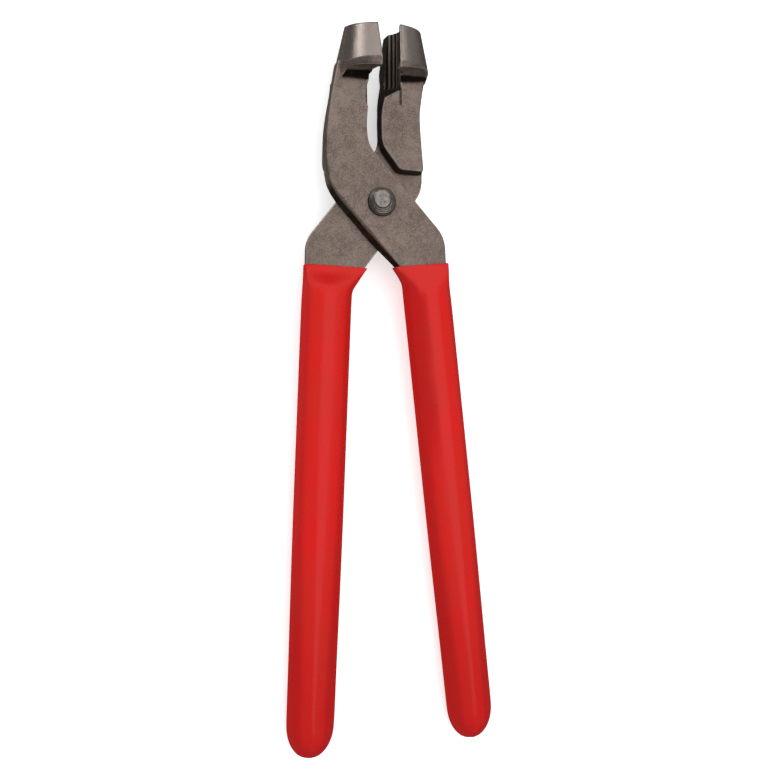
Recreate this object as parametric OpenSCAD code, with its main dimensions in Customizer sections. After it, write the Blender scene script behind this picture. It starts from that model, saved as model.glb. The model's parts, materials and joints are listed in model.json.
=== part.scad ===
// Faucet pliers: two forged arms crossed on one rivet, half-cone jaws with a ribbed groove in each
// face and handles dipped in a soft coating. Everything is drawn round the point where the arms
// cross, with X to the right, Y towards the jaws and Z out of the side that shows the rivet's head,
// and is then moved so that the origin lies under the middle of the whole tool.

/* [Joint] */
// Thickness of one arm where the two arms cross
lap_t = 5; // [4.5:0.25:5.5]
// Slack between the two faces that slide on each other
lap_slack = 0.1; // [0.05:0.05:0.2]
// Radius of the rivet's shank
rivet_r = 4.5; // [3.5:0.25:5]
// Radial play of the shank in the back arm
rivet_play = 0.05; // [0.02:0.01:0.1]
// Radius of the rivet's two heads
rivet_head_r = 6.2; // [5.5:0.1:7]
// Height of the hammered head on the front arm
rivet_head_h = 3.3; // [2:0.1:4]
// Height of the low head behind the back arm
rivet_tail_h = 2.4; // [1.5:0.1:3]
// Sideways place of the rivet from where the arms cross
rivet_x = 1.15; // [0.5:0.05:1.5]

/* [Jaws] */
// Distance from the rivet to the middle of the jaws' tips
tip_y = 73; // [71:0.1:75]
// Slope of the tips, which rise to the rear, in degrees
tip_lean = 4.6; // [0:0.1:5]
// Radius of the closed pair of jaws at the tips
tip_r = 12.6; // [12:0.1:13]
// Distance from the rivet to the foot of the cone that the closed jaws make
rim_y = 54.5; // [53.5:0.1:55.5]
// Radius of that cone at its foot
rim_r = 17.2; // [16.8:0.1:17.6]
// Tilt of the front arm's jaw face from the tool's long axis, in degrees
front_jaw_tilt = 2; // [1.5:0.1:2.2]
// Tilt of the back arm's jaw face from the tool's long axis, in degrees
back_jaw_tilt = -5; // [-5.5:0.1:-4.8]
// Sideways place of both jaw faces where they pass the rivet
jaw_face_x = 2.2; // [2:0.05:2.4]
// Gap left between the two jaw faces when they are closed
jaw_gap = 0.3; // [0.2:0.05:0.5]
// Radius of the groove in each jaw face
groove_r = 14; // [12:0.5:16]
// Depth of the groove in a jaw face at the tips
groove_depth = 2.5; // [2:0.1:3]
// How much the groove's floor leans from the jaw face, so that it is deeper below, in degrees
groove_lean = 3.3; // [2.5:0.1:4]
// How far the groove's middle lies to the front of the jaws' axis
groove_z = 3.1; // [2.5:0.1:4]
// Ribs on each side of the one in the middle of a groove
ribs_per_side = 4; // [3:1:5]
// Distance between neighbouring ribs
rib_pitch = 2.57; // [2.4:0.01:2.7]
// Height of the ribs
rib_h = 0.6; // [0.4:0.1:0.8]
// Radius of the scoop that runs from the jaw's underside into the stem
scoop_r = 7; // [6:0.25:8]

/* [Handles] */
// Distance from the rivet to the upper lip of each grip
lip_y = 25.8; // [25.5:0.1:26.5]
// Distance from the rivet to the round ends of the grips
tail_y = 227.4; // [215:0.5:235]
// Angle of the front arm's handle from the long axis, in degrees
front_splay = 4.5; // [4:0.1:5]
// Angle of the back arm's handle from the long axis, in degrees
back_splay = 3.9; // [3.5:0.1:4.5]
// Width of a grip
grip_w = 21.2; // [20.5:0.1:22]
// Thickness of a grip
grip_t = 13.4; // [12.5:0.1:14.5]
// Thickness of the coating on the handles
coat = 1.8; // [1.4:0.1:2.2]
// Thickness of the coating at its lip
lip_coat = 0.6; // [0.5:0.05:0.8]
// Thickness of the coating on the narrow sides at its lip
lip_side = 1.3; // [1.2:0.1:1.8]

/* [Hidden] */
$fn = 96;

steel = [0.36, 0.33, 0.31];
worn_steel = [0.55, 0.52, 0.5];
red = [0.81, 0.13, 0.11];

// Outlines below are [x, y, length cut from each side of the corner by its rounding].
// Front arm, seen from the front: where its face ends, and where its foot meets the lap plane.
front_lap_face = [
    [28.6, -31, 1], [28.3, -14.3, 5], [-3.9, 23.3, 3.5], [-4.7, 31, 4], [-3.4, 43.5, 3],
    [-2.2, 49, 2], [-1.4, 58, 1], [-15.6, 58, 1], [-18.2, 47.5, 4], [-20.7, 32.7, 6],
    [-21.7, 17, 6], [-20.2, 7.3, 3.5], [-16.5, 2.9, 2.5], [-8, -7.1, 3], [8, -26, 1.5],
    [12.2, -31, 1]
];
front_lap_foot = [
    [29.4, -31, 1], [29.2, -14, 5], [-3, 23.4, 3.5], [-3.9, 31, 4], [-2.6, 43.5, 3],
    [-1.4, 49, 2], [-0.6, 58, 1], [-16, 58, 1], [-18.4, 46.5, 4], [-21.9, 30.5, 6],
    [-22.7, 16, 6], [-21.3, 6.2, 3.5], [-17.7, 0.4, 2], [-3.6, -16, 3], [6.6, -26, 1.5],
    [11.4, -31, 1]
];
// The thick part of the front arm's stem behind the lap plane.
front_pad_face = [
    [-1.4, 58, 1], [-14.9, 58, 1], [-16.9, 47.5, 4], [-19.9, 32.7, 6], [-20.9, 17, 1.5],
    [-20.3, 13.8, 1.5], [-12, 14.4, 2.5], [-5, 23.6, 3.5], [-4.7, 31, 3], [-3.4, 43.5, 3],
    [-2.2, 49, 2]
];
front_pad_foot = [
    [-0.6, 58, 1], [-16, 58, 1], [-18.4, 46.5, 4], [-21.9, 30.5, 6], [-22.7, 16, 1.5],
    [-22.2, 12.5, 1.5], [-11.4, 12.8, 2.5], [-4, 22.6, 3.5], [-3.9, 31, 3], [-2.6, 43.5, 3],
    [-1.4, 49, 2]
];
// Back arm, seen from the front: its lap lies behind the lap plane and its pad before it.
back_lap_foot = [
    [-31, -33, 1], [-9.6, -33, 1], [-5.2, -26.5, 1.5], [17.6, 1.5, 4],
    [20.4, 6.4, 3], [20.9, 13, 3], [19.7, 27, 6], [19.4, 37, 4], [21.2, 47.5, 4],
    [23.6, 58, 1], [7.8, 58, 1], [5.6, 50, 2], [3, 42.5, 3], [1.9, 36, 3],
    [1.8, 23.3, 4], [-30.5, -15.4, 4]
];
back_lap_face = [
    [-30.4, -33, 1], [-10.6, -33, 1], [-6.2, -26, 1.5], [16.6, 2, 4],
    [19.3, 6.6, 3], [19.8, 13, 3], [18.8, 27, 6], [18.5, 37, 4], [20.2, 47.8, 4],
    [22.9, 58, 1], [8.3, 58, 1], [5.9, 50, 2], [3.7, 42.5, 3], [3, 36, 3],
    [3.2, 24.3, 4], [-29.4, -15.7, 4]
];
back_pad_foot = [
    [20.9, 12.6, 2], [19.7, 27, 6], [19.4, 37, 4], [21.2, 47.5, 4], [23.6, 58, 1],
    [7.8, 58, 1], [5.6, 50, 2], [3, 42.5, 3], [1.9, 36, 3], [1.8, 23.2, 3.5], [9.4, 12.8, 2]
];
back_pad_face = [
    [19.5, 13.2, 2], [18.8, 27, 6], [18.5, 37, 4], [20.2, 47.8, 4], [22.9, 58, 1],
    [8.4, 58, 1], [6.2, 50, 2], [3.4, 42.5, 3], [2.1, 36, 3], [2, 24.4, 3.5], [9.6, 14, 2]
];
arc_steps = 5;

// How deep the steel lies in a grip, and the coating's own surface.
under_coat = [lip_coat, lip_side, coat];
no_skin = [0, 0, 0];

// Sideways place of each handle's centre line at the height of the rivet.
front_handle_x = 18.4;
back_handle_x = 19.6;
// Reach of each grip's lip to the inner side of its handle, and where that flare ends.
front_lip_in = 14.6;
front_flare = 7;
back_lip_in = 17.3;
back_flare = 10.3;
// Length over which the thin lap swells to the full handle, and over which the flats open out.
swell = 12.5;
// Length of the round end of a grip.
end_len = 14;
// Flats on the handle's two faces: their edges from the centre line near the lip and at the tail.
flat_near = 3.9;
flat_tail = 1.2;
flat_shift = 0.5;
side_flat = 2.3;
// Reach of a grip's lip to the outer side, and what the grip loses of its half width at the tail.
lip_out = 9.6;
tail_taper = 0.5;

// The rear side's slope up to the jaws: where it starts, and its rise for each unit along the stem.
rear_y = 35;
rear_rise = 0.477;

// Where the ribs of the back jaw run out: the ramp's upper and lower ends in the pad's face, and
// its lean up to the rear, in degrees.
ramp_top = [12, 48];
ramp_foot = [3.1, 43];
ramp_lean = 20;
// Slope of the rim under each jaw, in degrees.
front_scoop_turn = -3;
back_scoop_turn = 6;
// The bevel under each jaw: the distances of its rim and its foot from the rivet, and how much
// narrower the jaw is at the foot.
front_bevel = [57, 53.7];
back_bevel = [56, 52.2];
bevel_in = 1;
// The two flats down each jaw's outer side: the direction round the jaw's axis, in degrees from the
// front, and the distance from the axis at the rim and at the tip.
front_flat = [81, 16.4, 12.2];
rear_flat = [107, 16.3, 10.6];

// The whole tool's extent round the rivet, for the shift to the base's centre.
mid_x = 0.52;
tip_rise = tip_r * tan(tip_lean);
mid_y = (tip_y + tip_rise - tail_y) / 2;
jaw_taper = (rim_r - tip_r) / (tip_y - rim_y);
base_z = lap_t + (rim_r - lap_t + jaw_taper * (rim_y - rear_y)) * rear_rise / (rear_rise + jaw_taper);

function unit(v) = v / norm(v);
function ease(t) = let (s = max(0, min(1, t))) s * s * (3 - 2 * s);
function mix(a, b, t) = a + (b - a) * t;

// A polygon's corners cut back and joined by curves.
function rounded(pts) = [
    for (i = [0 : len(pts) - 1])
        let (
            n = len(pts),
            p = [pts[i].x, pts[i].y],
            q = [pts[(i + n - 1) % n].x, pts[(i + n - 1) % n].y],
            s = [pts[(i + 1) % n].x, pts[(i + 1) % n].y],
            from = p + unit(q - p) * pts[i].z,
            to = p + unit(s - p) * pts[i].z
        )
        for (k = [0 : arc_steps])
            let (t = k / arc_steps)
            from * (1 - t) * (1 - t) + p * 2 * t * (1 - t) + to * t * t
];

function lift(pts, z) = [for (p = pts) [p.x, p.y, z]];
function blend_outline(a, b, t) = [for (i = [0 : len(a) - 1]) mix(a[i], b[i], t)];

// A closed solid through rings of the same number of points, the first one lowest.
module loft(rings) {
    n = len(rings[0]);
    last = n * (len(rings) - 1);
    polyhedron(
        points = [for (ring = rings) each ring],
        faces = [
            [for (i = [0 : n - 1]) i],
            for (k = [0 : len(rings) - 2], i = [0 : n - 1])
                let (a = k * n + i, b = k * n + (i + 1) % n)
                each [[a, a + n, b + n], [a, b + n, b]],
            [for (i = [n - 1 : -1 : 0]) last + i]
        ]
    );
}

// One forged layer from its foot at the lap plane up to its face, with leaning walls and a
// rounded upper edge. It sinks a little below the foot, to join what lies under it.
module forging(foot, face, sink) {
    low = rounded(foot);
    high = rounded(face);
    z0 = lap_slack / 2;
    loft([
        if (sink > 0) lift(high, z0 - sink),
        lift(low, z0),
        lift(blend_outline(low, high, 0.5), mix(z0, lap_t, 0.78)),
        lift(blend_outline(low, high, 0.72), mix(z0, lap_t, 0.93)),
        lift(high, lap_t)
    ]);
}

// A cone with its axis along Y, from y0 with radius r0 up to y1 with radius r1.
module cone_between(y0, r0, y1, r1) {
    translate([0, y0, 0])
        rotate([-90, 0, 0])
            cylinder(h = y1 - y0, r1 = r0, r2 = r1);
}

// The radius of the closed jaws' cone at the distance y from the rivet.
function cone_r(y) = rim_r - jaw_taper * (y - rim_y);

// The cone that the closed jaws make above their rims, with the bevel under it.
module jaw_head(bevel) {
    top_y = tip_y + tip_rise;
    cone_between(bevel[0], cone_r(bevel[0]), top_y, cone_r(top_y));
    cone_between(bevel[1], cone_r(bevel[0]) - bevel_in, bevel[0], cone_r(bevel[0]));
}

// The space below a jaw's tip, which rises to the rear.
module below_tip(side) {
    reach = 4 * rim_r;
    translate([0, tip_y, 0])
        rotate([-side * tip_lean, 0, 0])
            translate([-reach / 2, -reach, -reach / 2])
                cube(reach);
}

// The space that one of the flats on a jaw's outer side leaves.
module inside_flat(turn, at_rim, at_tip) {
    reach = 4 * rim_r;
    rotate([0, 180 + turn, 0])
        translate([0, rim_y, -at_rim])
            rotate([atan((at_rim - at_tip) / (tip_y - rim_y)), 0, 0])
                translate([-reach / 2, -reach / 2, 0])
                    cube(reach);
}

// Half of the space round the jaw's axis: everything on the side away from the other jaw.
module jaw_side() {
    reach = 2 * rim_r;
    translate([-reach - jaw_gap / 2, 0, -reach])
        cube([reach, tip_y + 1, 2 * reach]);
}

// What is cut away in front of the stem under the jaw: a flat underside and a round inner corner.
// It goes a hair below the stem's face, which it makes anew.
module scoop(turn, top_y) {
    span = 3 * rim_r;
    drop = 20;
    sunk = 0.02;
    translate([0, top_y, lap_t - sunk])
        rotate([0, 0, turn])
            translate([-span / 2, 0, 0]) {
                translate([0, -scoop_r, scoop_r])
                    rotate([0, 90, 0])
                        cylinder(h = span, r = scoop_r);
                translate([0, -scoop_r - drop, 0])
                    cube([span, drop, drop]);
                translate([0, -scoop_r - drop, scoop_r])
                    cube([span, scoop_r + drop, drop]);
            }
}

// What is cut away behind the stem: everything behind its rear side and the slope up to the jaw.
module rear_slope() {
    reach = 3 * rim_r;
    low = -lap_t - reach;
    high = -lap_t - rear_rise * reach;
    translate([-reach, 0, 0])
        rotate([90, 0, 90])
            linear_extrude(2 * reach)
                polygon([
                    [0, -lap_t], [rear_y, -lap_t], [rear_y + reach, high], [rear_y + reach, low], [0, low]
                ]);
}

// Section of the groove in a jaw face, with the ribs as teeth on its arc.
module groove_section() {
    centre = groove_r - groove_depth;
    pitch_angle = rib_pitch / groove_r * 180 / PI;
    edge = (ribs_per_side + 0.5) * pitch_angle;
    teeth = [
        for (k = [-2 * ribs_per_side - 1 : 2 * ribs_per_side + 1])
            let (a = k * pitch_angle / 2, r = groove_r + (abs(k) % 2 == 0 ? 0 : rib_h))
            [centre - r * cos(a), r * sin(a)]
    ];
    polygon(concat(teeth, [[centre, groove_r * sin(edge)], [centre, -groove_r * sin(edge)]]));
}

// The groove along one jaw, from y0 past the tip.
module groove(y0, side) {
    reach = tip_y - y0;
    translate([0, tip_y, -side * groove_z])
        rotate([0, 0, -groove_lean])
            translate([0, -reach, 0])
                rotate([-90, 0, 0])
                    linear_extrude(reach + 3)
                        groove_section();
}

// A half-cone jaw on the side away from its partner, with a neck that joins it to the stem.
// The foot and face are the stem's own outlines, and tilt turns the jaw's face.
module jaw(foot, face, tilt, side, bevel) {
    under = 14;
    sunk = 0.3;
    place_jaw(tilt, side)
        intersection() {
            jaw_head(bevel);
            jaw_side();
            below_tip(side);
            inside_flat(side * front_flat[0], front_flat[1], front_flat[2]);
            inside_flat(side * rear_flat[0], rear_flat[1], rear_flat[2]);
        }
    intersection() {
        place_jaw(tilt, side)
            intersection() {
                cone_between(
                    bevel[1] - under, cone_r(bevel[1] - under),
                    bevel[1] + sunk, cone_r(bevel[0]) - bevel_in
                );
                jaw_side();
            }
        drafted(foot, face);
    }
}

// The root of a jaw, which fills the slope behind the stem.
module root(foot, face) {
    intersection() {
        translate([-tip_y, rear_y - 1, -rim_r])
            cube([2 * tip_y, rim_y - rear_y - 0.6, rim_r]);
        drafted(foot, face);
    }
}

// The space over and under a stem's outline, which draws in with the lean of the stem's walls.
module drafted(foot, face) {
    low = rounded(foot);
    high = rounded(face);
    far = blend_outline(low, high, 2);
    loft([lift(far, -tip_y), lift(far, -rim_r), lift(high, -lap_t), lift(low, 0)]);
    loft([lift(low, 0), lift(high, lap_t), lift(far, rim_r), lift(far, tip_y)]);
}

// Puts a jaw's axis where the jaw faces meet at the rivet, turned by its tilt.
module place_jaw(tilt, side) {
    translate([jaw_face_x, 0, 0])
        rotate([0, 0, tilt])
            rotate([0, side > 0 ? 180 : 0, 0])
                children();
}

// One handle's cross-section: eight rounded corners in order round it.
function handle_ring(u_in, u_out, f_in, f_out, z_face, z_back, side_h) =
    let (mid = (z_face - z_back) / 2, cut = 0.3)
    let (c = [
        [f_in, z_face], [u_in, mid + side_h], [u_in, mid - side_h], [f_in, -z_back],
        [f_out, -z_back], [u_out, mid - side_h], [u_out, mid + side_h], [f_out, z_face]
    ])
    [
        for (i = [0 : 7])
            let (p = c[i], q = c[(i + 7) % 8], s = c[(i + 1) % 8])
            each [mix(p, q, cut), p * 0.7 + (q + s) * 0.15, mix(p, s, cut)]
    ];

// Distances from the lip at which a handle's rings lie, before its round end.
function handle_stops(total, first) = [
    first, 2.5, 5, 7.5, 10.3, 13.5, 18, 26, 45, 75, 105, 135, 160, 176, total - end_len
];

// The handle's outer form, or the steel in it where skin says how deep it lies under the coating:
// on the faces at the lip, on the sides at the lip, and further down. The steel starts a little
// below the lip. The ring at distance d from the lip hangs on a centre line that leans by splay.
module handle(lip_in, flare, splay, skin) {
    total = (tail_y - lip_y) / cos(splay);
    coated = skin.z == 0;
    stops = handle_stops(total, coated ? 0 : 0.4);
    length = stops[len(stops) - 1];
    half_w = grip_w / 2;
    half_t = grip_t / 2;
    tail_w = half_w - tail_taper;
    loft([
        for (d = stops)
            let (
                open = ease(d / swell),
                s = mix(skin.x, skin.z, open),
                side_s = mix(skin.y, skin.z, open),
                w = mix(half_w, tail_w, ease((d - 100) / (length - 100))),
                u_in = -mix(lip_in, w, min(1, d / flare)) + side_s,
                u_out = mix(lip_out, w, ease(d / 15)) - side_s,
                flat = mix(flat_near, flat_tail, ease((d - 60) / (length - 60))),
                f_in = mix(u_in + 0.9, flat_shift - flat, open),
                f_out = mix(u_out - 0.9, flat_shift + flat, open),
                z_face = mix(lap_t + lip_coat, half_t, ease(d / 20)) - s,
                z_back = mix(lip_coat, half_t, open) - s,
                side_h = mix((z_face + z_back) / 2 - 0.7, side_flat, open)
            )
            on_line(handle_ring(u_in, u_out, f_in, f_out, z_face, z_back, side_h), d),
        for (a = [15 : 15 : 75])
            let (
                w = tail_w * pow(cos(a), 0.85) - skin.z,
                t = half_t * pow(cos(a), 0.75) - skin.z,
                flat = flat_tail * cos(a),
                d = length + (end_len - 1.5 * skin.z) * sin(a)
            )
            if (w > 0.4 && t > 0.4)
                on_line(handle_ring(-w, w, -flat, flat, t, t, t * 0.45), d),
        if (coated)
            on_line(handle_ring(-1.3, 1.3, -0.6, 0.6, 1.3, 1.3, 0.6), total - 0.6),
        if (coated)
            on_line(handle_ring(-0.6, 0.6, -0.3, 0.3, 0.6, 0.6, 0.3), total)
    ]);
}

function on_line(ring, d) = [for (p = ring) [p.x, -d, p.y]];

// Puts a handle drawn down from its lip onto its arm's centre line.
module place_handle(base_x, splay) {
    translate([base_x + lip_y * tan(splay), -lip_y, 0])
        rotate([0, 0, splay])
            children();
}

// Turns what is drawn for the front arm over to the back arm's side.
module turn_over() {
    rotate([0, 180, 0]) children();
}

module front_handle(skin) {
    place_handle(front_handle_x, front_splay)
        handle(front_lip_in, front_flare, front_splay, skin);
}

module back_handle(skin) {
    turn_over()
        place_handle(back_handle_x, back_splay)
            handle(back_lip_in, back_flare, back_splay, skin);
}

module rivet_hole(r) {
    translate([rivet_x, 0, 0])
        cylinder(h = 6 * lap_t, r = r, center = true);
}

// Keeps a form at its own size, as one continuous surface of small flats.
module one_surface() {
    resize([0, 0, 0]) children();
}

module front_arm() {
    color(steel)
        difference() {
            one_surface() front_forging();
            rivet_hole(rivet_r);
        }
}

module front_forging() {
    difference() {
        union() {
            forging(front_lap_foot, front_lap_face, 0);
            mirror([0, 0, 1]) forging(front_pad_foot, front_pad_face, 2);
            jaw(front_pad_foot, front_pad_face, front_jaw_tilt, -1, front_bevel);
            root(front_pad_foot, front_pad_face);
            front_handle(under_coat);
        }
        scoop(front_scoop_turn, front_bevel[1]);
        rear_slope();
        place_jaw(front_jaw_tilt, -1) groove(39.7, -1);
    }
}

module back_arm() {
    color(steel)
        difference() {
            one_surface() back_forging();
            rivet_hole(rivet_r + rivet_play);
        }
}

module back_forging() {
    difference() {
        union() {
            mirror([0, 0, 1]) forging(back_lap_foot, back_lap_face, 0);
            forging(back_pad_foot, back_pad_face, 2);
            jaw(back_pad_foot, back_pad_face, back_jaw_tilt, 1, back_bevel);
            root(back_lap_foot, back_lap_face);
            back_handle(under_coat);
        }
        scoop(back_scoop_turn, back_bevel[1]);
        rear_slope();
        intersection() {
            place_jaw(back_jaw_tilt, 1) groove(36, 1);
            above_ramp();
        }
    }
}

// The side of the ramp towards the tips.
module above_ramp() {
    run = ramp_top - ramp_foot;
    reach = 60;
    translate([ramp_foot.x, ramp_foot.y, lap_t])
        rotate([0, 0, atan2(run.y, run.x)])
            rotate([ramp_lean, 0, 0])
                translate([-reach / 2, 0, -reach / 2])
                    cube([reach, reach, reach]);
}

module rivet() {
    z_front = lap_t;
    z_rear = -lap_t - lap_slack;
    color(worn_steel)
        translate([rivet_x, 0, 0])
            rotate_extrude()
                polygon([
                    [0, z_rear - rivet_tail_h], [rivet_head_r * 0.62, z_rear - rivet_tail_h],
                    [rivet_head_r, z_rear - rivet_tail_h * 0.35], [rivet_head_r, z_rear],
                    [rivet_r, z_rear], [rivet_r, z_front], [rivet_head_r, z_front],
                    [rivet_head_r, z_front + rivet_head_h * 0.3],
                    [rivet_head_r * 0.87, z_front + rivet_head_h * 0.6],
                    [rivet_head_r * 0.62, z_front + rivet_head_h], [0, z_front + rivet_head_h]
                ]);
}

module front_grip() {
    color(red)
        one_surface()
            difference() {
                front_handle(no_skin);
                front_core();
            }
}

module back_grip() {
    color(red)
        one_surface()
            difference() {
                back_handle(no_skin);
                back_core();
            }
}

// The steel inside each grip, as the grip's hollow.
module front_core() {
    forging(front_lap_foot, front_lap_face, 0);
    front_handle(under_coat);
}

module back_core() {
    mirror([0, 0, 1]) forging(back_lap_foot, back_lap_face, 0);
    back_handle(under_coat);
}

module set_down() {
    translate([-mid_x, -mid_y, base_z]) children();
}

set_down() front_arm();
set_down() back_arm();
set_down() rivet();
set_down() front_grip();
set_down() back_grip();
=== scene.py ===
"""Faucet pliers dressed for the camera: two forged arms, one hammered rivet and two dipped grips.

Sizes are in millimetres round the point where the arms cross, with X to the right, Y towards the
jaws and Z out of the side with the rivet's hammered head. `seat` turns them into metres of the
shared frame.
"""

from __future__ import annotations

import json
import logging
import math
from dataclasses import dataclass, field
from enum import Enum
from typing import Any, Iterable, Sequence

import bmesh
import bpy
import numpy as np
from mathutils import Matrix, Vector, noise


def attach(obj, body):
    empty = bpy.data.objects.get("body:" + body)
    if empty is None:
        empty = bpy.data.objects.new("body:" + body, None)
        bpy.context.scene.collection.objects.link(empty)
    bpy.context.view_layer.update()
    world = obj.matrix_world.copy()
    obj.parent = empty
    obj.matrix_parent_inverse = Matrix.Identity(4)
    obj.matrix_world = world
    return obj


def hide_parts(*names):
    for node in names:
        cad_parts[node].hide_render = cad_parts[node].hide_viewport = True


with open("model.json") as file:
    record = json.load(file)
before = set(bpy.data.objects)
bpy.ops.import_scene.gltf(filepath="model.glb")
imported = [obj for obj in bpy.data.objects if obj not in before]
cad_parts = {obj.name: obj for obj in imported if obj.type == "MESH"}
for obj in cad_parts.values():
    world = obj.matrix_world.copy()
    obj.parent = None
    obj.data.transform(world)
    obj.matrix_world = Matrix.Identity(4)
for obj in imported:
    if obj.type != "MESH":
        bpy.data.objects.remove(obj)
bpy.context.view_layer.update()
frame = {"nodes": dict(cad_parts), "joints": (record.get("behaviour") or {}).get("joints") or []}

LOG = logging.getLogger("pliers")
MM = 0.001
# How far the rivet's axis lies to the right of the arms' crossing, in millimetres
RIVET_X = 1.15
CROSSING = Vector(frame["joints"][0]["pos_m"]) - Vector((RIVET_X, 0, 0)) * MM


class Body(Enum):
    """The two halves that turn on the rivet."""

    FRONT = "front"
    BACK = "back"


class Slot(Enum):
    """The record's material slots."""

    STEEL = "forged_steel"
    RIVET = "rivet_steel"
    COATING = "red_coating"


class Mark(Enum):
    """What is painted on the points of a piece for its finish to read."""

    # Bright edges: wear together with painted highlight on the steel, brighter ridges on the rivet
    EDGE = "edge"
    # Painted shade in the steel's corners and between the ribs, darker dents on the rivet
    NOOK = "nook"
    # Mill scale with painted shade on the steel's walls, painted shade on the grips and round the rivet's
    # head
    WALL = "wall"
    # Painted shade under the jaws' heads
    SHADE_UNDER_HEADS = "painted_shade"
    TURNED = "turned"


def seat(x: float, y: float, z: float) -> Vector:
    """Point of the shared frame in metres, from millimetres round the arms' crossing.

    Args:
        x: Distance to the right of the crossing.
        y: Distance from the crossing towards the jaws.
        z: Height over the plane where the two arms slide on each other.

    Returns:
        The point in metres.
    """
    return CROSSING + Vector((x, y, z)) * MM


def ease(t: float) -> float:
    """Smooth step from 0 to 1."""
    s = min(1.0, max(0.0, t))
    return s * s * (3 - 2 * s)


def ramp(values: np.ndarray, low: float, high: float) -> np.ndarray:
    """Smooth step of a whole array.

    Args:
        values: The numbers to judge.
        low: Where the step starts.
        high: Where the step ends.

    Returns:
        Numbers from 0 to 1.
    """
    s = np.clip((values - low) / (high - low), 0, 1)
    return s * s * (3 - 2 * s)


def mix(a: float, b: float, t: float) -> float:
    """Number between two others."""
    return a + (b - a) * t


# Shader sheets


class Value:
    """A number that changes over a surface, as a shader socket used in plain expressions."""

    def __init__(self, sheet: Sheet, socket: bpy.types.NodeSocket) -> None:
        """Keeps the socket and the sheet that it is on."""
        self.sheet = sheet
        self.socket = socket

    def __add__(self, other: Value | float) -> Value:
        """Sum."""
        return self.sheet.math("ADD", self, other)

    def __radd__(self, other: float) -> Value:
        """Sum with a number on the left."""
        return self.sheet.math("ADD", other, self)

    def __sub__(self, other: Value | float) -> Value:
        """Difference."""
        return self.sheet.math("SUBTRACT", self, other)

    def __rsub__(self, other: float) -> Value:
        """Difference from a number on the left."""
        return self.sheet.math("SUBTRACT", other, self)

    def __mul__(self, other: Value | float) -> Value:
        """Product."""
        return self.sheet.math("MULTIPLY", self, other)

    def __rmul__(self, other: float) -> Value:
        """Product with a number on the left."""
        return self.sheet.math("MULTIPLY", other, self)

    def fade(self, low: float, high: float) -> Value:
        """Smooth step from 0 at low to 1 at high.

        Args:
            low: Value that gives 0.
            high: Value that gives 1.

        Returns:
            A number from 0 to 1.
        """
        node = self.sheet.add(
            "ShaderNodeMapRange",
            {"interpolation_type": "SMOOTHSTEP"},
            {"Value": self, "From Min": low, "From Max": high},
        )
        return Value(self.sheet, node.outputs[0])


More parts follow.
